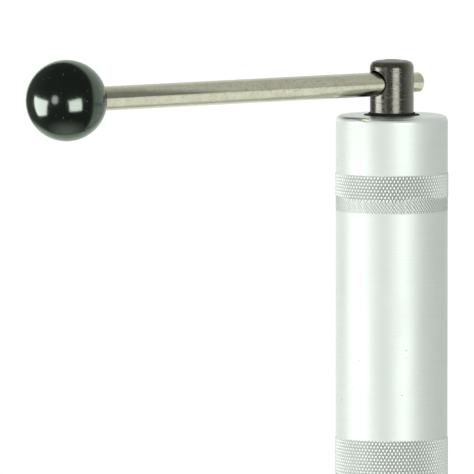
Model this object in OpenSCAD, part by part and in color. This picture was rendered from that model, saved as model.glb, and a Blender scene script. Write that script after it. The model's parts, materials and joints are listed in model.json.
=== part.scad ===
// Hand-cranked installation tool for large wire thread inserts.
// Origin: centre of the nose end face. +Z runs up the tool to the crank, the crank points along -X.
// Screw threads are drawn as plain cylinders at the diameter that guides the mating thread.

/* [Body tube] */
// Outer diameter of the aluminium body tube
tube_d = 44.45; // [42:0.05:48]
// Diameter of the main bore inside the tube
tube_bore = 31.75; // [30:0.05:33]
// Thickness of the wall left across the top of the tube
top_wall = 9.5; // [8:0.1:12]
// Corner radius round the top of the tube
top_round = 2.4; // [0.5:0.1:4]
// Diameter of the hole in the top wall
top_hole_d = 22.2; // [21:0.1:24]
// Distance from each end of the tube to its knurled band
band_inset = 22.6; // [20:0.1:26]
// Height of each knurled band
band_w = 15.6; // [12:0.1:18]
// Plain grip between the two knurled bands
band_gap = 89.6; // [86:0.1:110]
// How far the knurl crests stand above the plain tube
knurl_rise = 0.25; // [0.1:0.05:0.4]

/* [Spindle] */
// Diameter of the spindle's head and upper journal
head_d = 17.46; // [16:0.02:18]
// Height of the spindle's head above the tube
head_h = 22.0; // [21:0.1:26]
// Corner radius of the head's top
head_round = 3.2; // [1:0.1:4]
// Diameter of the hollow lower part of the spindle
sleeve_d = 22.2; // [21:0.1:23]

/* [Crank] */
// Distance from the spindle's axis to the centre of the ball knob
crank_r = 161; // [120:1:200]
// Height of the crank rod's axis above the tube
rod_h = 12.4; // [11:0.1:14]
// Diameter of the crank rod
rod_d = 9.53; // [8.5:0.01:10]
// Diameter of the rod's stepped-down ends
stub_d = 7.94; // [7:0.01:8]
// Distance from the spindle's axis to the far end of the rod
stub_out = 13.5; // [12:0.1:18]
// Diameter of the ball knob
ball_d = 31.75; // [28:0.05:36]

/* [Mandrel feed] */
// Lead of the mandrel's thread in one turn of the crank
thread_pitch = 2.54; // [2:0.01:2.6]
// Turns of the crank from fully up to fully down
feed_turns = 23.75; // [12:0.25:24]
// Outer diameter of the mandrel's thread
thread_d = 18.9; // [18.7:0.01:19]
// Diameter of the mandrel's plain shank
shank_d = 12.7; // [12:0.01:13]

/* [Nose] */
// Length of the nose below the body tube
nose_len = 88.9; // [86:0.1:95]
// Outer diameter of the nose
nose_d = 31.75; // [30:0.05:32]
// Inner diameter of the nose thread that guides the insert
nose_bore = 19.6; // [19.5:0.01:19.8]
// Height of the loading window above the nose's end face
window_z = 12.7; // [11:0.1:14]
// Height of the loading window
window_h = 25.4; // [20:0.1:26]
// Width of the loading window
window_w = 19; // [16:0.1:20]
// Diameter of the squaring foot
foot_d = 50.8; // [46:0.1:60]
// Height of the squaring foot
foot_h = 9.5; // [8:0.1:10.5]

/* [Hidden] */
$fn = 96;

run = 0.05;          // radial clearance of a running fit
gap = 0.05;          // end clearance between stacked parts
eps = 0.5;           // overshoot of a cutter past the face it cuts

// Heights up the tool
tube_len = 2 * (band_inset + band_w) + band_gap;
tube_z = nose_len;
top_z = tube_z + tube_len;
head_z = top_z + head_h;
rod_z = top_z + rod_h;
bore_top_z = top_z - top_wall;

// Nose spigot and its lock ring
spigot_d = 33.3;
spigot_len = 19;
spigot_top_z = tube_z + spigot_len;
ring_h = 9.5;
lock_ring_z = tube_z - ring_h;
collar_z = lock_ring_z - 8;

// Bearings, stacked down from the top wall
bush_len = 19;
washer_t = 1.5;
washer_od = tube_bore - 0.15;
washer_id = 22.7;
collar_h = 6.4;
collar_d = 28.6;
upper_bush_z = bore_top_z - bush_len;
upper_washer_z = upper_bush_z - washer_t;
spindle_collar_z = upper_washer_z - gap - collar_h;
lower_washer_z = spindle_collar_z - gap - washer_t;
lower_bush_z = lower_washer_z - bush_len;
circlip_t = 1.5;
circlip_z = lower_bush_z - circlip_t - gap;

// Wiper ring in the top wall
wiper_recess = 0.1;
wiper_lip_h = 0.9;
wiper_h = 5.5;

// Mandrel, pin and slots, from the feed nut up
stroke = thread_pitch * feed_turns;
nut_z = 50.8;
nut_len = 19;
nut_od = 25.4;
tip_z = window_z + window_h + 1.3;
thread_top_z = nut_z + nut_len + stroke + 1;
spindle_bottom_z = thread_top_z + 1.6;
pin_d = 4.76;
slot_w = 4.9;
pin_len = 21.2;
pin_z = spindle_bottom_z + 7.4 + stroke;
slot_bottom_z = pin_z - stroke - pin_d / 2 - 0.6;
slot_top_z = pin_z + pin_d / 2 + 0.6;
shank_top_z = pin_z + 7;
spindle_bore_top_z = shank_top_z + 2;

// Set screws
grub_d = 6.35;
small_grub_d = 4.83;
foot_screw_angles = [60, 120];

// Ball knob
spot_d = 13.5;
spot_x = sqrt(pow(ball_d / 2, 2) - pow(spot_d / 2, 2));
rod_seat = 1.6;
insert_d = 12;
insert_len = 15;

module tube(d_out, d_in, z, h) {
    difference() {
        translate([0, 0, z]) cylinder(d = d_out, h = h);
        translate([0, 0, z - eps]) cylinder(d = d_in, h = h + 2 * eps);
    }
}

module disc(d, z, h) {
    translate([0, 0, z]) cylinder(d = d, h = h);
}

// A post whose top corner is rounded, standing at height z
module rounded_post(d, z, h, r) {
    translate([0, 0, z]) rotate_extrude() union() {
        square([d / 2 - r, h]);
        square([d / 2, h - r]);
        translate([d / 2 - r, h - r]) intersection() {
            circle(r);
            square(r);
        }
    }
}

// A cylinder along X between two distances from the axis
module rod_x(d, x0, x1) {
    translate([x0, 0, 0]) rotate([0, 90, 0]) cylinder(d = d, h = x1 - x0);
}

// A chamfered disc: c is the chamfer on both ends
module chamfered_disc(d, z, h, c) {
    translate([0, 0, z]) {
        cylinder(d1 = d - 2 * c, d2 = d, h = c);
        translate([0, 0, c]) cylinder(d = d, h = h - 2 * c);
        translate([0, 0, h - c]) cylinder(d1 = d, d2 = d - 2 * c, h = c);
    }
}

// A socket set screw along +X from x0, with a hexagon socket in its outer end
module grub(d, x0, len) {
    socket = d * 0.55;
    difference() {
        union() {
            rod_x(d, x0 + 0.5, x0 + len);
            translate([x0, 0, 0]) rotate([0, 90, 0]) cylinder(d1 = d - 1.2, d2 = d, h = 0.5);
        }
        translate([x0 + len * 0.45, 0, 0]) rotate([0, 90, 0]) cylinder(d = socket, h = len, $fn = 6);
    }
}

// Internal retaining ring with two eared ends, opening towards -Y
module internal_circlip(d_out, band, ear_d, z, t) {
    ear_a = 17;
    lug_r = (d_out - ear_d) / 2 - 0.05;
    difference() {
        union() {
            difference() {
                tube(d_out, d_out - 2 * band, z, t);
                translate([-2.4, -d_out, z - eps]) cube([4.8, d_out, t + 2 * eps]);
            }
            for (s = [-1, 1]) rotate(s * ear_a) translate([0, -lug_r, z]) cylinder(d = ear_d, h = t);
        }
        for (s = [-1, 1]) rotate(s * ear_a) translate([0, -lug_r, z - eps]) {
            cylinder(d = ear_d * 0.36, h = t + 2 * eps);
        }
    }
}

module body_tube() {
    groove_w = circlip_t + 2 * gap;
    color("gainsboro") difference() {
        union() {
            rounded_post(tube_d, tube_z, tube_len, top_round);
            disc(tube_d + 2 * knurl_rise, tube_z + band_inset, band_w);
            disc(tube_d + 2 * knurl_rise, tube_z + band_inset + band_w + band_gap, band_w);
        }
        disc(spigot_d, tube_z - eps, spigot_len + eps);
        disc(tube_bore, tube_z, bore_top_z - tube_z);
        disc(top_hole_d, bore_top_z - eps, top_wall + 2 * eps);
        disc(tube_bore + 2.4, circlip_z - gap, groove_w);
        translate([0, 0, tube_z + spigot_len / 2]) rotate(90) rod_x(grub_d, 0, tube_d);
    }
}

module wiper_ring() {
    z = top_z - wiper_recess - wiper_h;
    color("black") difference() {
        union() {
            disc(top_hole_d, z, wiper_h);
            translate([0, 0, z + wiper_h - 0.1]) {
                cylinder(d1 = head_d + 1.5, d2 = head_d + 0.8, h = wiper_lip_h + 0.1);
            }
        }
        disc(head_d + 2 * run, z - eps, wiper_h + wiper_lip_h + 2 * eps);
    }
}

module upper_bush() {
    color("peru") difference() {
        tube(tube_bore, head_d + 2 * run, upper_bush_z, bush_len - gap);
        disc(head_d + 1.6, upper_bush_z + bush_len / 2 - 1.5, 3);
    }
}

module lower_bush() {
    color("peru") difference() {
        tube(tube_bore, sleeve_d + 2 * run, lower_bush_z, bush_len - gap);
        disc(sleeve_d + 1.6, lower_bush_z + bush_len / 2 - 1.5, 3);
    }
}

module thrust_washers() {
    color("silver") for (z = [upper_washer_z, lower_washer_z]) {
        tube(washer_od, washer_id, z, washer_t - gap);
    }
}

module bush_circlip() {
    color("dimgray") internal_circlip(tube_bore + 2.2, 2.6, 5, circlip_z, circlip_t);
}

module spindle() {
    color("dimgray") difference() {
        union() {
            rounded_post(head_d, spindle_collar_z, head_z - spindle_collar_z, head_round);
            chamfered_disc(collar_d, spindle_collar_z, collar_h, 0.5);
            disc(sleeve_d, spindle_bottom_z, spindle_collar_z - spindle_bottom_z + 0.1);
        }
        disc(shank_d + 2 * run, spindle_bottom_z - eps, spindle_bore_top_z - spindle_bottom_z + eps);
        translate([0, 0, rod_z]) {
            rod_x(rod_d + 2 * run, -head_d, 2);
            rod_x(stub_d + 2 * run, 0, head_d);
        }
        disc(grub_d, rod_z, head_h);
        for (a = [0, 180]) rotate(a) {
            translate([0, -slot_w / 2, slot_bottom_z + slot_w / 2]) {
                cube([sleeve_d, slot_w, slot_top_z - slot_bottom_z - slot_w]);
            }
            for (z = [slot_bottom_z + slot_w / 2, slot_top_z - slot_w / 2]) {
                translate([0, 0, z]) rod_x(slot_w, 0, sleeve_d);
            }
        }
    }
}

module crank_rod() {
    shoulder_x = 1.5;
    seat_x = -(crank_r - spot_x + rod_seat);
    color("lightsteelblue") translate([0, 0, rod_z]) {
        rod_x(rod_d, seat_x, shoulder_x);
        rod_x(stub_d, shoulder_x - 0.1, stub_out - 0.5);
        translate([stub_out - 0.5, 0, 0]) rotate([0, 90, 0]) {
            cylinder(d1 = stub_d, d2 = stub_d - 1, h = 0.5);
        }
        rod_x(stub_d, seat_x - insert_len + 2, seat_x + 0.1);
    }
}

module rod_lock_screw() {
    z = rod_z + rod_d / 2;
    color("dimgray") translate([0, 0, z]) rotate([0, -90, 0]) {
        grub(grub_d - 0.02, 0, head_z - z - 0.5);
    }
}

module ball_knob() {
    face_x = crank_r - spot_x;
    color("black") translate([-crank_r, 0, rod_z]) difference() {
        sphere(d = ball_d);
        translate([spot_x, -ball_d, -ball_d]) cube(2 * ball_d);
        rod_x(rod_d + 2 * run, spot_x - rod_seat, ball_d);
        rod_x(insert_d, spot_x - rod_seat - insert_len, spot_x - rod_seat);
    }
}

module knob_insert() {
    color("goldenrod") translate([-crank_r + spot_x - rod_seat, 0, rod_z]) difference() {
        rod_x(insert_d - 0.02, -insert_len, 0);
        rod_x(stub_d + 2 * run, -insert_len + 1.5, eps);
        for (x = [-insert_len / 2 - 0.9, -insert_len / 2 + 2.1]) difference() {
            rod_x(insert_d + 1, x - 0.6, x + 0.6);
            rod_x(insert_d - 1.4, x - 1.6, x + 1.6);
        }
    }
}

module mandrel() {
    tang_w = 2.6;
    tang_d = 5;
    color("slategray") difference() {
        union() {
            chamfered_disc(thread_d, tip_z, thread_top_z - tip_z, 1.2);
            disc(shank_d, thread_top_z - 0.1, shank_top_z - 1 - thread_top_z + 0.1);
            translate([0, 0, shank_top_z - 1]) cylinder(d1 = shank_d, d2 = shank_d - 2, h = 1);
        }
        translate([-tang_w / 2, -thread_d, tip_z - eps]) cube([tang_w, 2 * thread_d, tang_d + eps]);
        translate([0, 0, pin_z]) rod_x(pin_d, -shank_d, shank_d);
    }
}

module drive_pin() {
    color("silver") translate([0, 0, pin_z]) rod_x(pin_d, -pin_len / 2, pin_len / 2);
}

module feed_nut() {
    color("peru") difference() {
        tube(nut_od, thread_d + 2 * run, nut_z, nut_len);
        translate([0, 0, nut_z + nut_len / 2]) rotate(90) {
            rod_x(small_grub_d, nut_od / 2 - 1.4, nut_od);
        }
    }
}

module nut_circlip() {
    color("dimgray") internal_circlip(nut_od + 1.8, 1.7, 3.6, nut_z + nut_len + gap, 1.2);
}

module nut_lock_screw() {
    color("dimgray") translate([0, 0, nut_z + nut_len / 2]) rotate(90) {
        grub(small_grub_d - 0.02, nut_od / 2 - 1.3, nose_d / 2 - nut_od / 2 + 1);
    }
}

module nose_barrel() {
    loading_d = 24.6;
    color("dimgray") difference() {
        union() {
            chamfered_disc(nose_d, 0, collar_z + 1, 0.6);
            chamfered_disc(spigot_d, collar_z, spigot_top_z - gap - collar_z, 0.6);
        }
        disc(nose_bore, -eps, nut_z + 2 * eps);
        disc(loading_d, window_z, window_h);
        disc(nut_od, nut_z, spigot_top_z - nut_z + eps);
        disc(nut_od + 2, nut_z + nut_len, 1.2 + 2 * gap);
        translate([-window_w / 2, -nose_d, window_z]) cube([window_w, nose_d, window_h]);
        translate([0, 0, nut_z + nut_len / 2]) rotate(90) rod_x(small_grub_d, 0, nose_d);
        translate([0, 0, tube_z + spigot_len / 2]) rotate(90) {
            rod_x(grub_d, spigot_d / 2 - 1.2, spigot_d);
        }
    }
}

module nose_lock_ring() {
    notches = 6;
    color("gainsboro") difference() {
        chamfered_disc(tube_d, lock_ring_z, ring_h - gap, 0.8);
        disc(spigot_d, lock_ring_z - eps, ring_h + 2 * eps);
        for (i = [0 : notches - 1]) rotate((i + 0.5) * 360 / notches) {
            translate([tube_d / 2 - 2, -2.4, lock_ring_z - eps]) cube([4, 4.8, ring_h + 2 * eps]);
        }
    }
}

module nose_lock_screw() {
    color("dimgray") translate([0, 0, tube_z + spigot_len / 2]) rotate(90) {
        grub(grub_d - 0.02, spigot_d / 2 - 1.1, tube_d / 2 - spigot_d / 2 + 0.6);
    }
}

module squaring_foot() {
    color("gainsboro") difference() {
        chamfered_disc(foot_d, 0, foot_h, 1.2);
        disc(nose_d, -eps, foot_h + 2 * eps);
        for (a = foot_screw_angles) translate([0, 0, foot_h / 2]) rotate(a) rod_x(small_grub_d, 0, foot_d);
    }
}

module foot_screws() {
    color("dimgray") for (a = foot_screw_angles) translate([0, 0, foot_h / 2]) rotate(a) {
        grub(small_grub_d - 0.02, nose_d / 2 + 0.02, foot_d / 2 - nose_d / 2 - 1);
    }
}

body_tube();
wiper_ring();
upper_bush();
lower_bush();
thrust_washers();
bush_circlip();
spindle();
crank_rod();
rod_lock_screw();
ball_knob();
knob_insert();
mandrel();
drive_pin();
feed_nut();
nut_circlip();
nut_lock_screw();
nose_barrel();
nose_lock_ring();
nose_lock_screw();
squaring_foot();
foot_screws();
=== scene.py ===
"""Looks of the hand-cranked thread insert tool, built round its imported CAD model.

Everything is in metres in the CAD's frame: +Z up the tool, the crank along -X, the loading window
towards -Y. Lengths named in the tables below are in millimetres, as in the CAD source.
"""
import json
import math

import bmesh
import bpy
import numpy as np
from mathutils import Matrix, Vector


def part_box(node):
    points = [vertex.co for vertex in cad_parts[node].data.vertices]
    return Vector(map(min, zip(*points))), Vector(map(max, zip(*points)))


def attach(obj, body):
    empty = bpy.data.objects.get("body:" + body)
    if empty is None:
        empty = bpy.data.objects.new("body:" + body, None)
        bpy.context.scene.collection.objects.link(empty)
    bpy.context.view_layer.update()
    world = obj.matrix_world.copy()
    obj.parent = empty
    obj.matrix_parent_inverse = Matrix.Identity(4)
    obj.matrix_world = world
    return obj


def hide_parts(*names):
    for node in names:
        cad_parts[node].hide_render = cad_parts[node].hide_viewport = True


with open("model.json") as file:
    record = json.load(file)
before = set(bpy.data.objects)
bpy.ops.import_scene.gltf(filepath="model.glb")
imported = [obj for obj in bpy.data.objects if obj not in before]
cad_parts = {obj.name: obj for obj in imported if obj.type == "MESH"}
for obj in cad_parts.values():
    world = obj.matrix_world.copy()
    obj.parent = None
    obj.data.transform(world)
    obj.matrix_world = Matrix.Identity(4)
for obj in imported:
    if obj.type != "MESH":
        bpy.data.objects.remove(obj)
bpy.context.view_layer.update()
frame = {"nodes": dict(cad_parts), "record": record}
MM = 0.001

# ---------------------------------------------------------------- sizes from the frame, in mm


def box_mm(node):
    """A CAD node's lowest and highest corners, in millimetres."""
    low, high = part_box(node)
    return low / MM, high / MM


TUBE_LOW, TUBE_HIGH = box_mm("body_tube")
WIPER_BOTTOM = box_mm("wiper_ring")[0].z
SPINDLE_BOTTOM, HEAD_TOP = (corner.z for corner in box_mm("spindle"))
ROD_LOW, ROD_HIGH = box_mm("crank_rod")
BALL_LOW, BALL_HIGH = box_mm("ball_knob")
NOSE_TOP = box_mm("nose_barrel")[1].z
RING_LOW, RING_HIGH = box_mm("nose_lock_ring")
FOOT_LOW, FOOT_HIGH = box_mm("squaring_foot")
MANDREL_LOW, MANDREL_HIGH = box_mm("mandrel")
PIN_Z = sum(corner.z for corner in box_mm("drive_pin")) / 2

# Body tube
KNURL_RISE = 0.25
TUBE_R = TUBE_HIGH.x - KNURL_RISE
TUBE_BOTTOM, TUBE_TOP = TUBE_LOW.z, TUBE_HIGH.z
TUBE_ROUND = 2.4
BORE_R, TOP_HOLE_R, TOP_WALL = 15.875, 11.1, 9.5
SPIGOT_R, SPIGOT_LEN = 16.65, 19.0
NOSE_SCREW_Z = TUBE_BOTTOM + SPIGOT_LEN / 2

# Knurled bands: how far from the tube's ends and how high, how many diamonds in a row round the tube,
# the height of one, and the mesh columns and rows that it gets
BAND_INSET, BAND_W = 22.6, 15.6
KNURL_COUNT, KNURL_AXIAL = 96, 2.54
KNURL_COLUMNS_EACH, KNURL_ROWS_EACH = 8, 8

# Crank. RUN is the running clearance on a radius, there and in the spindle.
ROD_R = (ROD_HIGH.z - ROD_LOW.z) / 2
ROD_Z = (ROD_HIGH.z + ROD_LOW.z) / 2
STUB_R = 3.97
SHOULDER_X = 1.5
BALL_R = (BALL_HIGH.z - BALL_LOW.z) / 2
BALL_X = BALL_LOW.x + BALL_R
SPOT_R, ROD_SEAT, INSERT_R, INSERT_LEN = 6.75, 1.6, 6.0, 15.0
RUN = 0.05

# Spindle: its collar runs below the upper bush and a washer
HEAD_R, HEAD_ROUND = 8.73, 3.2
UPPER_BUSH_LEN, WASHER_T = 19, 1.5
COLLAR_R, COLLAR_H = 14.3, 6.4
COLLAR_Z = TUBE_TOP - TOP_WALL - UPPER_BUSH_LEN - WASHER_T - RUN - COLLAR_H
SLEEVE_R, SHANK_R = 11.1, 6.35

# Set screws, the mandrel's cross pin and how far it slides
GRUB_R, SMALL_GRUB_R = 3.175, 2.415
PIN_R, STROKE = 2.38, 60.325

# Mandrel and nose. The nose's thicker, threaded part starts at NOSE_THREAD_Z.
THREAD_PITCH, THREAD_R, SHANK_LEN = 2.54, MANDREL_HIGH.x, 76.325
THREAD_TOP = MANDREL_HIGH.z - SHANK_LEN
NOSE_R, NOSE_BORE_R, LOADING_R = 15.875, 9.8, 12.3
WINDOW_Z, WINDOW_H, WINDOW_W, WINDOW_ROUND = 12.7, 25.4, 19.0, 2.5
NUT_Z, NUT_R, NUT_LEN = 50.8, 12.7, 19
NOSE_THREAD_Z = RING_LOW.z - 8 + 0.6

# Direction of the main view
CAMERA_AZIMUTH = -37.6
# Sides where the knurl's grooves get their darkest painted shade and its crests their brightest painted
# highlight, measured like the azimuths below
GROOVE_SHADE_SIDE, CREST_HIGHLIGHT_SIDE = 14, -15

# Azimuths are in degrees to the right of the main view's camera. Each set lights only its own pieces:
# the nodes it names, and the last set all that the others leave. A surround has a tint, a base
# brightness and patches, each laid over those before it: azimuth, elevation, half width, half height,
# squareness (2 is an ellipse), softness and brightness. A panel is a rectangle or an ellipse in the
# plane that faces the ball knob from an azimuth and elevation at a distance: it spans left to right
# and low to high there, in metres, and has a roll in degrees and a radiance.
BOX_LEFT = ("RECTANGLE", -79, 26.7, 0.4735, (-0.24, 0.25), (-0.78, -0.19), -8, 9.4)
BOX_RIGHT = ("RECTANGLE", 27, 0, 1.5, (-0.50, 0.50), (-0.72, 0.16), 8, 9.2)
SMALL_LAMP = ("ELLIPSE", -32, 5, 1.5, (-0.24, 0.24), (-0.31, 0.31), 0, 4.0)
LIGHTING = {
    "knob": {
        "nodes": ("ball_knob", "knob_insert"),
        "tint": (0.87, 1.0, 0.86),
        "base": 0.10,
        "patches": [(235, -10, 45, 50, 2, 0.5, 0.17), (144, -2, 61, 53, 2, 0.07, 1.05),
                    (0, -90, 1000, 24, 2, 0.6, 0.85), (176, -42, 47, 28, 2, 0.15, 1.2),
                    (112, -8, 32, 1.2, 8, 0.3, 0.3)],
        "panels": [BOX_LEFT, BOX_RIGHT, SMALL_LAMP],
    },
    "rod": {
        "nodes": ("crank_rod",),
        "tint": (1.0, 1.0, 1.0),
        "base": 0.50,
        "patches": [(143, 34, 81, 24, 8, 0.05, 0.64), (185, 22, 35, 24, 4, 0.2, 0.85),
                    (143, -25, 81, 28, 8, 0.05, 1.10), (140, -53, 17, 8, 2, 0.3, 0.60)],
        "panels": [BOX_LEFT, BOX_RIGHT, SMALL_LAMP],
    },
    "spindle": {
        "nodes": ("spindle", "rod_lock_screw", "mandrel", "drive_pin"),
        "tint": (0.96, 1.0, 0.95),
        "base": 0.12,
        "patches": [(150, 0, 66, 50, 2, 0.35, 1.1), (0, -90, 1000, 40, 2, 0.2, 0.5),
                    (180, 66, 85, 24, 4, 0.3, 0.6)],
        "panels": [("RECTANGLE", -79, 26.7, 0.4735, (-0.20, 0.28), (-0.75, -0.16), -8, 7.8),
                   ("RECTANGLE", 27, 0, 1.5, (-0.43, 0.45), (-0.72, 0.16), 8, 6.4),
                   ("ELLIPSE", -32, 5, 1.5, (-0.24, 0.24), (-0.31, 0.31), 0, 1.8)],
    },
    "barrel": {
        "nodes": None,
        "tint": (0.98, 1.0, 0.98),
        "base": 0.80,
        "patches": [(-40, 0, 60, 60, 2, 0.3, 0.90), (0, 77, 80, 17, 4, 0.15, 0.03),
                    (180, 77, 80, 14, 4, 0.2, 0.10), (207, 42, 28, 20, 2, 0.3, 0.05),
                    (207, -6, 32, 26, 2, 0.2, 1.2), (176, 14, 26, 14, 4, 0.3, 0.88),
                    (112, 0, 45, 60, 2, 0.3, 0.70)],
        "panels": [
            ("RECTANGLE", -70, 0, 1.5, (-0.72, 0.98), (-0.95, 0.45), 0, 1.15),
            ("RECTANGLE", 29, 0, 1.5, (-0.52, 0.50), (-0.95, 0.45), 0, 1.45)],
    },
}


# ---------------------------------------------------------------- mesh helpers


def rounded(corners, steps=5):
    """The closed outline through (x, y, radius) corners, each turned by an arc of its radius."""
    outline = []
    for i, (x, y, radius) in enumerate(corners):
        here = Vector((x, y))
        if radius == 0:
            outline.append(here)
            continue
        back = (Vector(corners[i - 1][:2]) - here).normalized()
        on = (Vector(corners[(i + 1) % len(corners)][:2]) - here).normalized()
        half = back.angle(on) / 2
        reach = radius / math.tan(half)
        centre = here + (back + on).normalized() * (radius / math.sin(half))
        start = here + back * reach - centre
        turn = start.angle_signed(here + on * reach - centre)
        for k in range(steps + 1):
            angle = -turn * k / steps
            outline.append(centre + Matrix.Rotation(angle, 2) @ start)
    return outline


def around(azimuth, elevation=0.0):
    """Unit direction azimuth degrees to the right of the main view's camera, as seen from it."""
    a, e, view = math.radians(azimuth), math.radians(elevation), math.radians(CAMERA_AZIMUTH)
    to_camera = Vector((math.sin(view), -math.cos(view), 0))
    right = Vector((math.cos(view), math.sin(view), 0))
    level = to_camera * math.cos(a) + right * math.sin(a)
    return level * math.cos(e) + Vector((0, 0, math.sin(e)))


def ring_angles(count):
    """Evenly spaced angles once round."""
    return np.arange(count) * 2 * math.pi / count


def add_mesh(name, verts, faces):
    """An object from vertices in millimetres, linked to the scene."""
    mesh = bpy.data.meshes.new(name)
    mesh.from_pydata((np.asarray(verts) * MM).tolist(), [], faces)
    mesh.validate()
    obj = bpy.data.objects.new(name, mesh)
    bpy.context.scene.collection.objects.link(obj)
    return obj


def skin(name, radii, heights, angles, closed):
    """A surface about Z with a height for each row and a radius for each row and column.

    A closed section joins its last row to its first. An open one is capped with a fan at each end.
    """
    rows, cols = radii.shape
    x, y = radii * np.cos(angles), radii * np.sin(angles)
    z = np.repeat(heights[:, None], cols, 1)
    verts = np.stack([x, y, z], -1).reshape(-1, 3)
    spans = np.arange(rows if closed else rows - 1)
    here = spans[:, None] * cols
    above = ((spans + 1) % rows)[:, None] * cols
    col, on = np.arange(cols), (np.arange(cols) + 1) % cols
    faces = np.stack([here + col, here + on, above + on, above + col], -1).reshape(-1, 4).tolist()
    if not closed:
        top = (rows - 1) * cols
        ends = np.array([[0, 0, z[0, 0]], [0, 0, z[-1, 0]]])
        first, last = len(verts), len(verts) + 1
        verts = np.concatenate([verts, ends])
        faces += [[first, int(b), int(a)] for a, b in zip(col, on)]
        faces += [[last, int(top + a), int(top + b)] for a, b in zip(col, on)]
    return add_mesh(name, verts, faces)


def lathe(name, corners, count=128, steps=5, closed=True):
    """A turned piece about Z from the (radius, height, rounding) corners of its section."""
    outline = rounded(corners, steps)
    if not closed:
        outline = [p for p in outline if p.x > 1e-6]
    radii = np.repeat(np.array([p.x for p in outline])[:, None], count, 1)
    heights = np.array([p.y for p in outline])
    return skin(name, radii, heights, ring_angles(count), closed)


def lay_along_x(obj, x, z):
    """Turns a piece made about Z so that its axis lies along +X through height z, its zero at x."""
    turn = Matrix.Rotation(math.pi / 2, 4, "Y")
    obj.data.transform(Matrix.Translation(Vector((x, 0, z)) * MM) @ turn)
    return obj


def outward(obj):
    """Makes every face's normal point out of the solid."""
    work = bmesh.new()
    work.from_mesh(obj.data)
    bmesh.ops.recalc_face_normals(work, faces=work.faces)
    work.to_mesh(obj.data)
    work.free()


def cut(obj, *cutters):
    """Cuts the cutters' shapes out of obj and removes them."""
    for cutter in cutters:
        outward(cutter)
        step = obj.modifiers.new("cut", "BOOLEAN")
        step.operation, step.solver, step.object = "DIFFERENCE", "EXACT", cutter
        depsgraph = bpy.context.evaluated_depsgraph_get()
        made = bpy.data.meshes.new_from_object(obj.evaluated_get(depsgraph))
        obj.modifiers.clear()
        old, obj.data = obj.data, made
        bpy.data.meshes.remove(old)
        bpy.data.objects.remove(cutter)
    obj.data.name = obj.name
    return obj


def peg(radius, start, length, angle=0.0, height=0.0, count=48):
    """A plain round cutter that lies level at this height, pointing away from the axis at angle."""
    obj = lathe("cutter", [(radius, 0, 0), (radius, length, 0)], count=count, closed=False)
    lay_along_x(obj, start, 0)
    turn = Matrix.Rotation(math.radians(angle), 4, "Z")
    obj.data.transform(Matrix.Translation((0, 0, height * MM)) @ turn)
    return obj


def block(low, high, rounding=0.0):
    """A rectangular cutter between two corners, its vertical section in X and Z rounded."""
    (x0, y0, z0), (x1, y1, z1) = low, high
    corners = ((x0, z0), (x1, z0), (x1, z1), (x0, z1))
    outline = rounded([(x, z, rounding) for x, z in corners], steps=6)
    n = len(outline)
    verts = [(p.x, y, p.y) for y in (y0, y1) for p in outline]
    faces = [[i, (i + 1) % n, n + (i + 1) % n, n + i] for i in range(n)]
    faces += [list(range(n - 1, -1, -1)), list(range(n, 2 * n))]
    return add_mesh("cutter", verts, faces)


# ---------------------------------------------------------------- materials


class Maker:
    """Builds one material's nodes. Textures use the object's own coordinates, in metres."""

    def __init__(self, name, **values):
        self.mat = bpy.data.materials.new(name)
        self.mat.use_nodes = True
        self.nodes, self.links = self.mat.node_tree.nodes, self.mat.node_tree.links
        self.shader = self.nodes["Principled BSDF"]
        self.place = self.nodes.new("ShaderNodeTexCoord").outputs["Object"]
        for key, value in values.items():
            self.shader.inputs[key.replace("_", " ")].default_value = value

    def feed(self, socket, value):
        """Links a socket to another node's output, or sets it to a value."""
        if isinstance(value, bpy.types.NodeSocket):
            self.links.new(value, socket)
        else:
            socket.default_value = value

    def node(self, kind, output, settings=None, **inputs):
        """A new node's output. Its inputs are named with _ for a space, or i0, i1... by number."""
        made = self.nodes.new(kind)
        for key, value in (settings or {}).items():
            setattr(made, key, value)
        for key, value in inputs.items():
            numbered = key[0] == "i" and key[1:].isdigit()
            self.feed(made.inputs[int(key[1:]) if numbered else key.replace("_", " ")], value)
        return made.outputs[output]

    def axis(self, name, vector):
        """The X, Y or Z of a vector."""
        return self.node("ShaderNodeSeparateXYZ", name, None, Vector=vector)

    def dot(self, vector, way):
        """How far a vector reaches in a direction."""
        dot_product = {"operation": "DOT_PRODUCT"}
        return self.node("ShaderNodeVectorMath", "Value", dot_product, i0=vector, i1=way)

    def stretched(self, scale):
        """The object's coordinates multiplied by a scale for each axis."""
        return self.node("ShaderNodeVectorMath", 0, {"operation": "MULTIPLY"}, i0=self.place, i1=scale)

    def noise(self, scale, detail=3.0, roughness=0.5):
        """Noise from 0 to 1, with a size for each axis: scale is features per metre."""
        return self.node("ShaderNodeTexNoise", "Fac", None, Vector=self.stretched(scale), Scale=1.0,
                         Detail=detail, Roughness=roughness)

    def ramp(self, value, low, high, to_low=0.0, to_high=1.0):
        """value mapped from low..high to to_low..to_high, and held there outside."""
        return self.node("ShaderNodeMapRange", 0, None, Value=value, From_Min=low, From_Max=high,
                         To_Min=to_low, To_Max=to_high)

    def mix(self, factor, a, b):
        """Colour a where factor is 0 and b where it is 1."""
        return self.node("ShaderNodeMix", 2, {"data_type": "RGBA"}, i0=factor, i6=a, i7=b)

    def blend(self, factor, a, b):
        """Number a where factor is 0 and b where it is 1."""
        return self.node("ShaderNodeMix", 0, None, Factor=factor, A=a, B=b)

    def math(self, operation, a, b=0.0):
        """A Math node's result."""
        return self.node("ShaderNodeMath", 0, {"operation": operation}, i0=a, i1=b)

    def set(self, **sockets):
        """Links the shader's sockets."""
        for key, value in sockets.items():
            self.links.new(value, self.shader.inputs[key.replace("_", " ")])

    def bump(self, height, depth, strength=1.0):
        """Relief from a 0 to 1 height, depth metres deep."""
        self.set(Normal=self.node("ShaderNodeBump", "Normal", None, Height=height, Distance=depth,
                                  Strength=strength))


def grey(value, tint=(1, 1, 1)):
    """A colour of this brightness, times a tint."""
    return (value * tint[0], value * tint[1], value * tint[2], 1)


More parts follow.
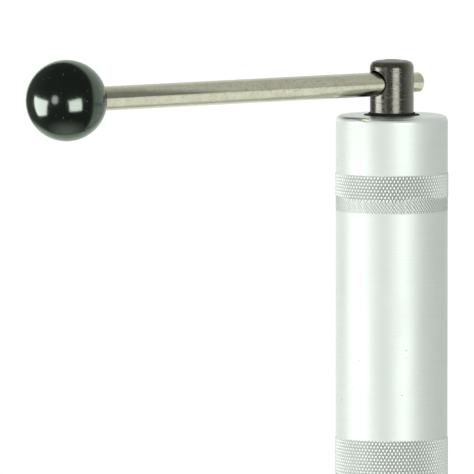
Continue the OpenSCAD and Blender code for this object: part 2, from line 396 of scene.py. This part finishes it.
def anodised(name, is_tube=False):
    """Turned and clear-anodised aluminium.

    The tube is smoother where its end was faced and has a few dark pits. Its knurl has painted shade in
    its grooves, darkest towards one side, and a painted highlight on its crests, brightest towards
    another.
    """
    m = Maker(name, Metallic=1.0)
    clouds = m.noise((55, 55, 30), 4)
    lines = m.noise((60, 60, 2600), 2)
    colour = m.mix(m.ramp(clouds, 0.35, 0.65), (0.735, 0.785, 0.745, 1), (0.775, 0.82, 0.785, 1))
    colour = m.mix(m.ramp(lines, 0.3, 0.7, 0.0, 0.2), colour, grey(0.68, (0.97, 1, 0.98)))
    rough = m.ramp(clouds, 0.3, 0.7, 0.46, 0.54)
    if is_tube:
        height = m.axis("Z", m.place)
        level = m.stretched((1, 1, 0))
        radius = m.node("ShaderNodeVectorMath", "Value", {"operation": "LENGTH"}, i0=level)
        faced = m.ramp(height, (TUBE_TOP - TUBE_ROUND) * MM, (TUBE_TOP - TUBE_ROUND + 0.2) * MM)
        outer = m.ramp(radius, (TUBE_R - 0.6) * MM, (TUBE_R - 0.5) * MM)
        clear_of_end = m.ramp(height, (TUBE_BOTTOM + 0.6) * MM, (TUBE_BOTTOM + 0.8) * MM)
        outside = m.math("MULTIPLY", outer, clear_of_end)
        outside = m.math("MULTIPLY", outside, m.math("SUBTRACT", 1.0, faced))
        sunk = m.ramp(radius, (TUBE_R - 0.14) * MM, (TUBE_R - 0.015) * MM, 1.0, 0.0)
        sunk = m.math("MULTIPLY", sunk, outside)
        crest = m.ramp(radius, (TUBE_R + 0.05) * MM, (TUBE_R + 0.20) * MM)
        # Painted shade in the knurl's grooves, darkest towards one side, and a painted highlight on its
        # crests, brightest towards another
        to_groove_shade, to_crest_highlight = (m.math("DIVIDE", m.dot(m.place, around(side)), radius)
                           for side in (GROOVE_SHADE_SIDE, CREST_HIGHLIGHT_SIDE))
        groove_shade_share = m.ramp(m.ramp(to_groove_shade, 0.70, 0.97), 0, 1, 0.40, 0.72)
        groove_shade = m.math("MULTIPLY", sunk, groove_shade_share)
        crest_highlight = m.math("MULTIPLY", crest, m.ramp(to_crest_highlight, 0.35, 0.8, 0.1, 1.0))
        pitted = m.ramp(m.noise((520, 520, 520), 1), 0.79, 0.83, 0.0, 0.55)
        pits = m.math("MULTIPLY", pitted, outside)
        colour = m.mix(pits, colour, (0.16, 0.17, 0.15, 1))
        # Painted shade in the grooves, then a painted highlight on the crests
        colour = m.mix(groove_shade, colour, (0.20, 0.22, 0.205, 1))
        colour = m.mix(crest_highlight, colour, (0.95, 0.97, 0.95, 1))
        rough = m.blend(faced, rough, 0.32)
    m.set(Base_Color=colour, Roughness=rough)
    m.bump(lines, 0.000012, 0.6)
    return m.mat


def black_oxide(name, shade=0.024, matt_above=None):
    """Turned steel with a black oxide finish, its turning marks still showing.

    matt_above is the height, in millimetres, above which its gloss is even and duller.
    """
    m = Maker(name, Specular_IOR_Level=1.0, Specular_Tint=(1, 0.985, 0.86, 1), Anisotropic=0.5)
    marks = m.noise((25, 25, 2900), 2, 0.6)
    chatter = m.noise((420, 420, 2200), 3, 0.6)
    patches = m.noise((120, 120, 60), 4)
    worn, plain = grey(shade * 0.75, (1, 0.95, 0.68)), grey(shade, (1, 0.97, 0.75))
    tone = m.mix(m.ramp(patches, 0.3, 0.7), worn, plain)
    tone = m.mix(m.ramp(chatter, 0.5, 0.72, 0.0, 0.6), tone, grey(shade * 2.0, (1, 0.97, 0.8)))
    rough = m.math("ADD", m.ramp(marks, 0.35, 0.65, 0.09, 0.19), m.ramp(chatter, 0.45, 0.65, 0.0, 0.16))
    if matt_above is not None:
        faced = m.ramp(m.axis("Z", m.place), (matt_above - 1.2) * MM, matt_above * MM)
        rough = m.blend(faced, rough, 0.3)
    m.set(Base_Color=tone, Roughness=rough)
    m.bump(m.math("ADD", marks, chatter), 0.00005, 0.9)
    m.set(Tangent=m.node("ShaderNodeTangent", 0, {"direction_type": "RADIAL", "axis": "Z"}))
    return m.mat


def bright_bar(name):
    """Cold-drawn bright steel bar: fine streaks, warm staining, specks, and a painted reflection of the
    knob.

    The painted reflection lies on the upper half, as a tongue that narrows and fades away from the
    knob.
    """
    m = Maker(name, Metallic=1.0)
    streaks = m.noise((22, 2600, 2600), 3, 0.6)
    stains = m.noise((180, 320, 320), 5, 0.6)
    specks = m.noise((800, 1600, 1600), 2, 0.5)
    tone = m.mix(m.ramp(stains, 0.35, 0.7), (0.61, 0.615, 0.48, 1), (0.52, 0.52, 0.38, 1))
    tone = m.mix(m.ramp(streaks, 0.35, 0.7, 0.0, 0.35), tone, (0.65, 0.65, 0.51, 1))
    tone = m.mix(m.ramp(specks, 0.5, 0.72, 0.0, 0.45), tone, (0.36, 0.36, 0.25, 1))
    # Painted dark reflection of the knob: a darker tongue on the rod's upper half near the knob, with a
    # little random staining in it
    along = m.axis("X", m.place)
    climb = m.math("SUBTRACT", m.axis("Z", m.place), ROD_Z * MM)
    knob_end = (BALL_X + BALL_R) * MM
    reach = m.ramp(along, knob_end + 0.01, knob_end + 0.07, 4.0 * MM, 1.0 * MM)
    below = m.ramp(m.math("SUBTRACT", reach, climb), 0, 0.0018)
    above = m.ramp(climb, 0.0002, 0.0007)
    fading = m.ramp(along, knob_end + 0.045, knob_end + 0.085, 0.68, 0.0)
    darkest = m.math("ADD", fading, m.ramp(stains, 0.4, 0.8, 0, 0.1))
    painted_knob_reflection = m.math("MULTIPLY", m.math("MULTIPLY", below, above), darkest)
    tone = m.mix(m.math("MINIMUM", painted_knob_reflection, fading), tone, (0.10, 0.10, 0.075, 1))
    m.set(Base_Color=tone, Roughness=m.ramp(streaks, 0.3, 0.7, 0.16, 0.26))
    m.bump(streaks, 0.000006, 0.6)
    return m.mat


def knob_plastic(name):
    """Polished black thermoset with a faint orange peel, fine scuffs and a little pale dust."""
    m = Maker(name, Specular_IOR_Level=1.0, Specular_Tint=(0.88, 1.0, 0.88, 1))
    peel = m.noise((420, 420, 420), 2)
    scuffs = m.noise((1500, 1500, 1500), 5, 0.7)
    tone = m.mix(m.ramp(scuffs, 0.62, 0.8), grey(0.0025, (0.8, 1, 0.9)), grey(0.010))
    dust = m.ramp(m.noise((900, 900, 900), 1), 0.735, 0.80, 0.0, 0.6)
    m.set(Base_Color=m.mix(dust, tone, grey(0.20, (1, 1, 0.9))),
          Roughness=m.ramp(scuffs, 0.45, 0.75, 0.14, 0.22))
    m.bump(peel, 0.00001, 0.3)
    return m.mat


def rubber(name):
    """Black moulded rubber with a fine matt grain."""
    m = Maker(name, Specular_IOR_Level=0.05)
    grain = m.noise((2400, 2400, 2400), 4, 0.6)
    tone = m.mix(grain, grey(0.008, (0.9, 1, 0.9)), grey(0.022, (0.9, 1, 0.9)))
    m.set(Base_Color=tone, Roughness=m.ramp(grain, 0.3, 0.7, 0.5, 0.7))
    m.bump(grain, 0.00003, 0.5)
    return m.mat


def oilite(name):
    """Sintered bronze: fine pores and darker oily patches."""
    m = Maker(name, Metallic=1.0)
    pores = m.noise((3200, 3200, 3200), 4, 0.7)
    oily = m.noise((160, 160, 160), 3)
    tone = m.mix(m.ramp(oily, 0.35, 0.65), (0.50, 0.32, 0.15, 1), (0.66, 0.45, 0.23, 1))
    tone = m.mix(m.ramp(pores, 0.58, 0.7), tone, (0.16, 0.09, 0.04, 1))
    m.set(Base_Color=tone, Roughness=m.ramp(oily, 0.3, 0.7, 0.32, 0.5))
    m.bump(pores, 0.00003, 0.6)
    return m.mat


def brass(name):
    """Turned brass, its marks round a level axis."""
    m = Maker(name, Metallic=1.0)
    lines = m.noise((2600, 60, 60), 3)
    m.set(Base_Color=m.mix(lines, (0.60, 0.43, 0.16, 1), (0.80, 0.62, 0.28, 1)),
          Roughness=m.ramp(lines, 0.3, 0.7, 0.2, 0.36))
    m.bump(lines, 0.00001, 0.6)
    return m.mat


def ground_steel(name, shade=0.6, rough=(0.22, 0.36), scale=(60, 60, 2600)):
    """Ground or machined steel, with its fine marks running as scale says."""
    m = Maker(name, Metallic=1.0)
    marks = m.noise(scale, 3, 0.6)
    wear = m.noise((220, 220, 220), 4)
    fresh, dull = grey(shade, (1, 0.99, 0.97)), grey(shade * 0.72, (1, 0.98, 0.93))
    tone = m.mix(m.ramp(wear, 0.35, 0.7), fresh, dull)
    tone = m.mix(m.ramp(marks, 0.3, 0.7, 0.0, 0.3), tone, grey(shade * 1.2))
    m.set(Base_Color=tone, Roughness=m.ramp(marks, 0.3, 0.7, *rough))
    m.bump(marks, 0.00001, 0.6)
    return m.mat


MATERIALS = {
    "anodised_body": anodised("anodised body", is_tube=True),
    "anodised_ring": anodised("anodised rings"),
    "black_rubber": rubber("black rubber"),
    "bronze": oilite("sintered bronze"),
    "ground_steel": ground_steel("ground steel"),
    "spring_steel": ground_steel("spring steel", 0.14, (0.35, 0.5), (900, 900, 900)),
    "black_oxide": black_oxide("black oxide spindle", matt_above=HEAD_TOP - 0.6),
    "bright_steel": bright_bar("bright steel bar"),
    "screw_steel": ground_steel("screw steel", 0.07, (0.3, 0.45), (900, 900, 900)),
    "black_knob": knob_plastic("black knob"),
    "turned_brass": brass("turned brass"),
    "mandrel_steel": ground_steel("mandrel steel", 0.42),
    "nose_steel": black_oxide("black oxide nose"),
}
SLOT_OF = {s["node"]: s["material_slot"] for s in frame["record"]["subparts"]}
BODY_OF = {n: body for body, names in frame["record"]["behaviour"]["bodies"].items() for n in names}


def finish_node(obj, *nodes, sharp=32):
    """Shades a piece, gives it the body and the slot's material of the CAD nodes it stands for, and
    hides them.
    """
    body, slot = BODY_OF[nodes[0]], SLOT_OF[nodes[0]]
    outward(obj)
    obj.data.shade_smooth()
    obj.data.set_sharp_from_angle(angle=math.radians(sharp))
    even = obj.modifiers.new("even shading", "WEIGHTED_NORMAL")
    even.keep_sharp = True
    even.weight = 100
    obj.data.materials.clear()
    obj.data.materials.append(MATERIALS[slot])
    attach(obj, body)
    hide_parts(*nodes)
    return obj


# ---------------------------------------------------------------- body tube


def knurled_bands():
    """Each knurled band's lowest and highest z and the share of it knurled off track."""
    lower_off, upper_off = 0.06, 0.40
    top = TUBE_TOP - BAND_INSET
    bottom = TUBE_BOTTOM + BAND_INSET
    return [(bottom, bottom + BAND_W, lower_off), (top - BAND_W, top, upper_off)]


def triangle(phase):
    """1 at whole phases, falling evenly to 0 half way between them."""
    return np.abs(2 * (phase - np.floor(phase)) - 1)


def knurl_height(angles, z, low, high, off_share):
    """Height of the knurl, above or below the plain tube, at every row z and column angle.

    Two sets of grooves cross into raised diamonds. In the lowest off_share of the band the rollers ran
    off their first track, along a wandering line, which leaves a shallower and finer pattern. The
    band's ends are ragged.
    """
    groove_w, steepness, depth = 0.12, 1.9, 0.22
    finer_by, shallower, crossing = 1.5, 0.85, 0.24
    off_fade, end_fade = 1.2, 0.35
    turn = angles[None, :] / (2 * math.pi) * KNURL_COUNT
    climb = (z / KNURL_AXIAL)[:, None]
    diamonds = np.minimum(triangle(turn + climb), triangle(turn - climb))
    diamonds = np.clip((diamonds - groove_w) * steepness, 0, 1)
    finer = np.minimum(triangle(finer_by * (turn + climb) + 0.5),
                       triangle(finer_by * (turn - climb) + 0.3))
    scrambled = 0.20 + 0.9 * (finer - 0.25) + crossing * np.sin(2 * math.pi * (turn + finer_by * climb))
    wander = 0.35 * np.sin(3 * angles)[None, :] + 0.2 * np.sin(7 * angles + 1)[None, :]
    off_track = np.clip((low + off_share * (high - low) - z[:, None]) / off_fade + wander, 0, 1)
    crest = KNURL_RISE * (1 - 0.3 * off_track)
    valley = -depth * (1 - 0.2 * off_track)
    shape = diamonds * (1 - shallower * off_track) + shallower * off_track * scrambled
    height = valley + (crest - valley) * np.clip(shape, 0, 1)
    ragged = 0.22 * np.sin(5 * angles + 0.7) + 0.12 * np.sin(23 * angles)
    from_low = z[:, None] - low - 0.15 - 0.15 * ragged
    from_high = high - 0.1 - 0.15 * ragged - z[:, None]
    return height * np.clip(np.minimum(from_low, from_high) / end_fade, 0, 1)


def make_body_tube():
    """The tube: one turned section, with the knurled bands' rows on its outside."""
    columns = KNURL_COUNT * KNURL_COLUMNS_EACH
    angles = ring_angles(columns)
    inner = TUBE_TOP - TOP_WALL
    spigot_top = TUBE_BOTTOM + SPIGOT_LEN
    outline = rounded([
        (TUBE_R, TUBE_TOP, TUBE_ROUND),
        (TOP_HOLE_R, TUBE_TOP, 0.35),
        (TOP_HOLE_R, inner, 0),
        (BORE_R, inner, 0),
        (BORE_R, spigot_top, 0),
        (SPIGOT_R, spigot_top, 0),
        (SPIGOT_R, TUBE_BOTTOM, 0.4),
        (TUBE_R, TUBE_BOTTOM, 0.5)], steps=4)
    rows = [(p.x, p.y) for p in outline]
    for low, high, _ in knurled_bands():
        count = round((high - low) * KNURL_ROWS_EACH / KNURL_AXIAL)
        rows += [(TUBE_R, z) for z in np.linspace(low, high, count + 1)]
    radii = np.repeat(np.array([r for r, _ in rows])[:, None], columns, 1)
    heights = np.array([z for _, z in rows])
    for low, high, off_share in knurled_bands():
        inside = (heights >= low) & (heights <= high) & (np.arange(len(rows)) >= len(outline))
        radii[inside] += knurl_height(angles, heights[inside], low, high, off_share)
    tube = skin("body_tube_turned", radii, heights, angles, closed=True)
    cut(tube, peg(GRUB_R, start=SPIGOT_R - 3, length=12, angle=90, height=NOSE_SCREW_Z))
    return finish_node(tube, "body_tube", sharp=50)


def make_wiper_ring():
    """A black ring in the top hole, a little proud of it, with a lip that hugs the spindle's head."""
    lip_r, low, high = HEAD_R + RUN, WIPER_BOTTOM, TUBE_TOP + 1.05
    shelf = TUBE_TOP + 0.25
    ring = lathe("wiper_ring_moulded", [
        (TOP_HOLE_R, low, 0.3),
        (TOP_HOLE_R, shelf, 0.25),
        (lip_r + 0.7, shelf, 0.3),
        (lip_r + 0.35, high, 0.15),
        (lip_r, high, 0.1),
        (lip_r, low, 0.3)], count=128, steps=3)
    return finish_node(ring, "wiper_ring")


# ---------------------------------------------------------------- crank


def make_spindle():
    """The crowned head, the journal, the collar and the hollow, slotted sleeve, all in one."""
    collar_top = COLLAR_Z + COLLAR_H
    bore_top = PIN_Z + 9
    spindle = lathe("spindle_turned", [
        (0, HEAD_TOP - 0.15, 0),
        (GRUB_R + 1, HEAD_TOP - 0.2, 0),
        (HEAD_R * 0.7, HEAD_TOP - 0.38, 0),
        (HEAD_R * 0.86, HEAD_TOP - 0.9, 2.5),
        (HEAD_R, HEAD_TOP - 1.7, HEAD_ROUND * 0.9),
        (HEAD_R, collar_top, 0.3),
        (COLLAR_R, collar_top, 0.5),
        (COLLAR_R, COLLAR_Z, 0.5),
        (SLEEVE_R, COLLAR_Z, 0.3),
        (SLEEVE_R, SPINDLE_BOTTOM, 0.5),
        (SHANK_R + RUN, SPINDLE_BOTTOM, 0.4),
        (SHANK_R + RUN, bore_top, 0),
        (0, bore_top, 0)], count=160, steps=10, closed=False)
    near, far = ROD_R + RUN, STUB_R + RUN
    mouth_wear, mouth_lift, mouth_depth = 0.4, 0.3, 3.4
    cut(spindle,
        peg(near, start=-2 * HEAD_R, length=2 * HEAD_R + 2, height=ROD_Z, count=96),
        peg(far, start=0, length=2 * HEAD_R, height=ROD_Z, count=96),
        peg(near + mouth_wear, start=-2 * HEAD_R, length=HEAD_R + mouth_depth,
            height=ROD_Z + mouth_lift, count=96),
        lathe("cutter", [(GRUB_R, ROD_Z, 0), (GRUB_R, HEAD_TOP + 2, 0)], count=48, closed=False),
        drive_slot(0),
        drive_slot(180))
    return finish_node(spindle, "spindle")


def drive_slot(side):
    """A slot in one side of the spindle's sleeve, for the mandrel's cross pin to slide in."""
    half_w, rounding, spare, near, far = 2.45, 2.4, 0.6, 4, 14
    low, high = PIN_Z - STROKE - PIN_R - spare, PIN_Z + PIN_R + spare
    slot = block((-half_w, near, low), (half_w, far, high), rounding)
    slot.data.transform(Matrix.Rotation(math.radians(side + 90), 4, "Z"))
    return slot


def make_crank_rod():
    """The bar from inside the knob to its thinner end, which stands out of the head's far side."""
    seat = BALL_X + ball_flat() - ROD_SEAT
    rod = lathe("crank_rod_drawn", [
        (0, ROD_HIGH.x, 0),
        (STUB_R, ROD_HIGH.x, 0.55),
        (STUB_R, SHOULDER_X, 0.1),
        (ROD_R, SHOULDER_X, 0.4),
        (ROD_R, seat, 0.4),
        (STUB_R, seat, 0.1),
        (STUB_R, ROD_LOW.x, 0.5),
        (0, ROD_LOW.x, 0)], count=128, steps=4, closed=False)
    lay_along_x(rod, 0, ROD_Z)
    return finish_node(rod, "crank_rod")


def ball_flat():
    """Distance from the ball's centre to the flat where the rod goes in."""
    return math.sqrt(BALL_R ** 2 - SPOT_R ** 2)


def make_ball_knob():
    """A moulded ball about +X: flat at the rod, and a fine seam in the plane of the rod's axis."""
    flat, hole_r, seam_w, seam_h = ball_flat(), ROD_R + RUN, 0.016, 0.012
    start = math.atan2(SPOT_R, flat)
    sweep = np.linspace(math.pi, start + 0.012, 72)[1:]
    outline = [Vector((BALL_R * math.sin(t), BALL_R * math.cos(t))) for t in sweep]
    edge = [(SPOT_R, flat, 0.25), (hole_r, flat, 0.3), (hole_r, flat - ROD_SEAT, 0),
            (INSERT_R, flat - ROD_SEAT, 0), (INSERT_R, flat - ROD_SEAT - INSERT_LEN, 0)]
    edge = [(outline[-1].x, outline[-1].y, 0), *edge, (0.5, edge[-1][1], 0)]
    outline += rounded(edge, steps=4)[1:-1]
    near_seam = np.array([-3, -2, -1, -0.5, 0, 0.5, 1, 2, 3]) * seam_w
    plain = ring_angles(120)
    away = np.abs((plain + math.pi / 2) % math.pi - math.pi / 2) > 3.5 * seam_w
    angles = np.sort(np.concatenate([plain[away], near_seam % (2 * math.pi), near_seam + math.pi]))
    offset = (angles + math.pi / 2) % math.pi - math.pi / 2
    ridge = seam_h * np.exp(-(offset / seam_w) ** 2)
    share = np.array([p.x / BALL_R if i < len(sweep) else 0 for i, p in enumerate(outline)])
    radii = np.array([p.x for p in outline])[:, None] + share[:, None] ** 2 * ridge[None, :]
    heights = np.array([p.y for p in outline])
    ball = skin("ball_knob_moulded", radii, heights, angles + math.pi / 2, closed=False)
    lay_along_x(ball, BALL_X, ROD_Z)
    return finish_node(ball, "ball_knob")


# ---------------------------------------------------------------- mandrel and nose


def thread_depth(angles, z, pitch, depth, crest=0.14, root=0.2):
    """How deep a right-handed thread is below its crest at each row z and column angle.

    crest and root are the shares of the pitch that are flat.
    """
    phase = z[:, None] / pitch - angles[None, :] / (2 * math.pi)
    across = 1 - triangle(phase)
    return depth * np.clip((across - crest) / (1 - crest - root), 0, 1)


def make_mandrel():
    """A plain shank above a threaded part, with a pin hole and a slot for the insert's tang."""
    columns, rows_each, depth = 96, 12, 1.5
    lead_in, run_out = 1.9, 1.6
    tang_half_w, tang_depth = 1.3, 5
    low, high = MANDREL_LOW.z, MANDREL_HIGH.z
    angles = ring_angles(columns)
    count = round((THREAD_TOP - low) * rows_each / THREAD_PITCH)
    z = np.linspace(low, THREAD_TOP, count + 1)
    sunk = thread_depth(angles, z, THREAD_PITCH, depth)
    tip = np.clip((z - low) + THREAD_R - lead_in, 0, THREAD_R)[:, None]
    shoulder = np.clip((THREAD_TOP - z) + THREAD_R - run_out, 0, THREAD_R)[:, None]
    radii = np.minimum(np.minimum(THREAD_R - sunk, tip), shoulder)
    shank = rounded([(THREAD_R, THREAD_TOP, 0), (SHANK_R, THREAD_TOP, 0.3), (SHANK_R, high, 1.0),
                     (0.5, high, 0)], steps=4)[1:-1]
    radii = np.concatenate([radii, np.repeat(np.array([p.x for p in shank])[:, None], columns, 1)])
    heights = np.concatenate([z, [p.y for p in shank]])
    mandrel = skin("mandrel_threaded", radii, heights, angles, closed=False)
    cut(mandrel,
        block((-tang_half_w, -12, low - 2), (tang_half_w, 12, low + tang_depth), 0.5),
        peg(PIN_R, start=-8, length=16, height=PIN_Z))
    return finish_node(mandrel, "mandrel", sharp=40)


def make_nose_barrel():
    """The nose, threaded inside for the insert and outside for the lock ring, with its window."""
    columns = 128
    angles = ring_angles(columns)
    nut_top, groove_w, groove_deep = NUT_Z + NUT_LEN, 1.3, 1
    outline = rounded([
        (SPIGOT_R, NOSE_TOP, 0.6),
        (NUT_R, NOSE_TOP, 0.3),
        (NUT_R, nut_top + groove_w, 0),
        (NUT_R + groove_deep, nut_top + groove_w, 0),
        (NUT_R + groove_deep, nut_top, 0),
        (NUT_R, nut_top, 0),
        (NUT_R, NUT_Z, 0),
        (NOSE_BORE_R, NUT_Z, 0.3),
        (NOSE_BORE_R, WINDOW_Z + WINDOW_H, 0.3),
        (LOADING_R, WINDOW_Z + WINDOW_H, 0),
        (LOADING_R, WINDOW_Z, 0)], steps=3)
    fine, fine_depth, fine_rows, coarse_depth, rows_each = 1.5875, 0.9, 180, 1.35, 12
    flare_h, flare_w, lead_in = 1.0, 1.4, 1.2
    inner_z = np.linspace(WINDOW_Z, 0, round(WINDOW_Z * rows_each / THREAD_PITCH) + 1)
    rise = thread_depth(angles, inner_z, THREAD_PITCH, coarse_depth, 0.2, 0.14)
    inner = NOSE_BORE_R + coarse_depth - rise
    flare = np.clip(flare_h - inner_z, 0, 1)[:, None]
    inner = np.maximum(inner, NOSE_BORE_R + flare * flare_w)
    foot = rounded([(inner[-1].max(), 0, 0), (NOSE_R, 0, 0.6), (NOSE_R, NOSE_THREAD_Z, 0.2),
                    (SPIGOT_R, NOSE_THREAD_Z, 0)], steps=3)[1:-1]
    outer_z = np.linspace(NOSE_THREAD_Z, NOSE_TOP - lead_in, fine_rows)
    outer = SPIGOT_R - thread_depth(angles, outer_z, fine, fine_depth)
    start = np.clip(outer_z - outer_z[0], 0, lead_in)[:, None] + NOSE_R
    outer = np.minimum(outer, start)

    def even(points):
        """The same radius all round for each point."""
        return np.repeat(np.array([p.x for p in points])[:, None], columns, 1)

    radii = np.concatenate([even(outline), inner, even(foot), outer])
    heights = np.concatenate([[p.y for p in outline], inner_z, [p.y for p in foot], outer_z])
    nose = skin("nose_barrel_turned", radii, heights, angles, closed=True)
    half = WINDOW_W / 2
    cut(nose,
        block((-half, -20, WINDOW_Z), (half, 0, WINDOW_Z + WINDOW_H), WINDOW_ROUND),
        peg(SMALL_GRUB_R, start=8, length=12, angle=90, height=NUT_Z + NUT_LEN / 2),
        peg(GRUB_R, start=SPIGOT_R - 1.2, length=6, angle=90, height=NOSE_SCREW_Z))
    return finish_node(nose, "nose_barrel", sharp=40)


def make_lock_ring():
    """A ring with notches round it for a hook spanner."""
    radius, low, high = 22.225, RING_LOW.z, RING_HIGH.z
    notches, half_w, deep = 6, 2.4, 2
    ring = lathe("nose_lock_ring_turned", [
        (radius, low, 0.8),
        (radius, high, 0.8),
        (SPIGOT_R, high, 0.4),
        (SPIGOT_R, low, 0.4)], count=192, steps=4)
    for i in range(notches):
        notch = block((-half_w, radius - deep, low - 1), (half_w, radius + 3, high + 1))
        notch.data.transform(Matrix.Rotation(2 * math.pi * (i + 0.5) / notches - math.pi / 2, 4, "Z"))
        cut(ring, notch)
    return finish_node(ring, "nose_lock_ring")


def make_squaring_foot():
    """The foot, with the holes of its two set screws."""
    radius, low, high = FOOT_HIGH.x, FOOT_LOW.z, FOOT_HIGH.z
    foot = lathe("squaring_foot_turned", [
        (radius, low, 1.0),
        (radius, high, 1.4),
        (NOSE_R, high, 0.5),
        (NOSE_R, low, 0.4)], count=192, steps=5)
    for angle in (60, 120):
        cut(foot, peg(SMALL_GRUB_R, start=NOSE_R - 2, length=16, angle=angle, height=(low + high) / 2))
    return finish_node(foot, "squaring_foot")


# ---------------------------------------------------------------- studio


def make_camera():
    """A distant telephoto camera that frames the tool's upper end and its crank."""
    distance, above, aside, tilt, focal_px, picture_px = 4.541, 0.3199, 0.0614, 4.64, 11478, 474
    data = bpy.data.cameras.new("camera")
    data.sensor_width = 36
    data.lens = focal_px / picture_px * data.sensor_width
    data.clip_end = 200
    camera = bpy.data.objects.new("camera", data)
    bpy.context.scene.collection.objects.link(camera)
    right = Vector((math.cos(math.radians(CAMERA_AZIMUTH)), math.sin(math.radians(CAMERA_AZIMUTH)), 0))
    top = Vector((0, 0, TUBE_TOP * MM))
    camera.location = top + around(0) * distance - right * aside + Vector((0, 0, above))
    camera.rotation_euler = (math.radians(90 - tilt), 0, math.radians(CAMERA_AZIMUTH))
    bpy.context.scene.camera = camera


def light_only(light, receivers):
    """Links a light or a glowing dome to the pieces that it lights."""
    light.light_linking.receiver_collection = receivers


def panel(name, shape, azimuth, elevation, distance, across, upward, roll, radiance):
    """An area light in the plane that faces the ball knob from a direction, as LIGHTING says."""
    ball = Vector((BALL_X, 0, ROD_Z)) * MM
    data = bpy.data.lights.new(name, "AREA")
    data.shape = shape
    data.size, data.size_y = across[1] - across[0], upward[1] - upward[0]
    filled = math.pi / 4 if shape == "ELLIPSE" else 1
    data.energy = radiance * math.pi * data.size * data.size_y * filled
    light = bpy.data.objects.new(name, data)
    way = around(azimuth, elevation)
    facing = way.to_track_quat("Z", "Y").to_matrix()
    shift = (facing.col[1] * sum(upward) - facing.col[0] * sum(across)) / 2
    light.location = ball + way * distance + shift
    light.rotation_euler = (facing @ Matrix.Rotation(math.radians(roll), 3, "Z")).to_euler()
    light.visible_camera = False
    bpy.context.scene.collection.objects.link(light)
    return light


def make_world():
    """Even white light for the floor and for matt surfaces."""
    strength = 1.12
    world = bpy.data.worlds.new("studio")
    bpy.context.scene.world = world
    world.use_nodes = True
    background = world.node_tree.nodes["Background"]
    background.inputs["Color"].default_value = (1, 1, 1, 1)
    background.inputs["Strength"].default_value = strength
    world.cycles_visibility.glossy = False


def surround_material(name, tint, base, patches):
    """Light by direction: a base brightness with soft-edged patches, clear to what is behind."""
    m = Maker(name)
    to = m.node("ShaderNodeVectorMath", 0, {"operation": "NORMALIZE"}, i0=m.place)
    elevation = m.math("ARCSINE", m.axis("Z", to))
    strength = base
    for azimuth, middle, half_w, half_h, squareness, softness, brightness in patches:
        across, along = m.dot(to, around(azimuth + 90)), m.dot(to, around(azimuth))
        aside = m.math("DIVIDE", m.math("ARCTAN2", across, along), math.radians(half_w))
        rise = m.math("SUBTRACT", elevation, math.radians(middle))
        above = m.math("DIVIDE", rise, math.radians(half_h))
        powers = [m.math("POWER", m.math("ABSOLUTE", share), squareness) for share in (aside, above)]
        reach = m.math("POWER", m.math("ADD", *powers), 1 / squareness)
        inside = m.ramp(reach, 1 + softness, 1 - softness)
        strength = m.blend(inside, strength, brightness)
    emission = m.node("ShaderNodeEmission", 0, None, Color=(*tint, 1), Strength=strength)
    clear = m.node("ShaderNodeBsdfTransparent", 0)
    both = m.node("ShaderNodeAddShader", 0, None, i0=emission, i1=clear)
    m.links.new(both, m.nodes["Material Output"].inputs["Surface"])
    m.nodes.remove(m.shader)
    return m.mat


def make_surround(name, radius, tint, base, patches):
    """A large dome that only reflections see, its radius in metres."""
    rows, count, pole = 24, 48, 0.02
    lat = np.linspace(pole - math.pi / 2, math.pi / 2 - pole, rows)
    radii = np.repeat((np.cos(lat) * radius / MM)[:, None], count, 1)
    dome = skin(name, radii, np.sin(lat) * radius / MM, ring_angles(count), closed=False)
    dome.data.materials.append(surround_material(name, tint, base, patches))
    for ray in ("camera", "diffuse", "transmission", "volume_scatter", "shadow"):
        setattr(dome, "visible_" + ray, False)
    return dome


def make_lighting(pieces):
    """The surround and panels of each set, linked to the pieces that stand for its nodes."""
    named = {node for setup in LIGHTING.values() for node in setup["nodes"] or ()}
    smallest_dome = 40.0
    for i, (name, setup) in enumerate(LIGHTING.items()):
        receivers = bpy.data.collections.new("lit by " + name)
        for piece, node in pieces:
            if node in (setup["nodes"] or ()) or (setup["nodes"] is None and node not in named):
                receivers.objects.link(piece)
        look = setup["tint"], setup["base"], setup["patches"]
        dome = make_surround(name + " surround", smallest_dome + i, *look)
        light_only(dome, receivers)
        for k, values in enumerate(setup["panels"]):
            light_only(panel(f"{name} panel {k + 1}", *values), receivers)


def make_floor():
    """A wide pale floor at the height of the nose's end face."""
    size, parts = 60.0, 24
    work = bmesh.new()
    bmesh.ops.create_grid(work, x_segments=parts, y_segments=parts, size=size)
    mesh = bpy.data.meshes.new("floor")
    work.to_mesh(mesh)
    work.free()
    floor = bpy.data.objects.new("floor", mesh)
    bpy.context.scene.collection.objects.link(floor)
    floor.location.z = FOOT_LOW.z * MM
    m = Maker("pale floor", Roughness=0.9, Specular_IOR_Level=0.2)
    m.set(Base_Color=m.mix(m.noise((3, 3, 3), 3), grey(0.95), grey(0.975)))
    floor.data.materials.append(m.mat)
    floor.visible_glossy = False


# ---------------------------------------------------------------- assembly

for node_name, node_object in frame["nodes"].items():
    node_object.data.materials.clear()
    node_object.data.materials.append(MATERIALS[SLOT_OF[node_name]])

built = [(make(), node) for node, make in (
    ("body_tube", make_body_tube), ("wiper_ring", make_wiper_ring), ("spindle", make_spindle),
    ("crank_rod", make_crank_rod), ("ball_knob", make_ball_knob), ("mandrel", make_mandrel),
    ("nose_barrel", make_nose_barrel), ("nose_lock_ring", make_lock_ring),
    ("squaring_foot", make_squaring_foot))]

make_camera()
make_world()
make_floor()
make_lighting([(node_object, name) for name, node_object in frame["nodes"].items()] + built)

bpy.context.scene.view_settings.view_transform = "Standard"
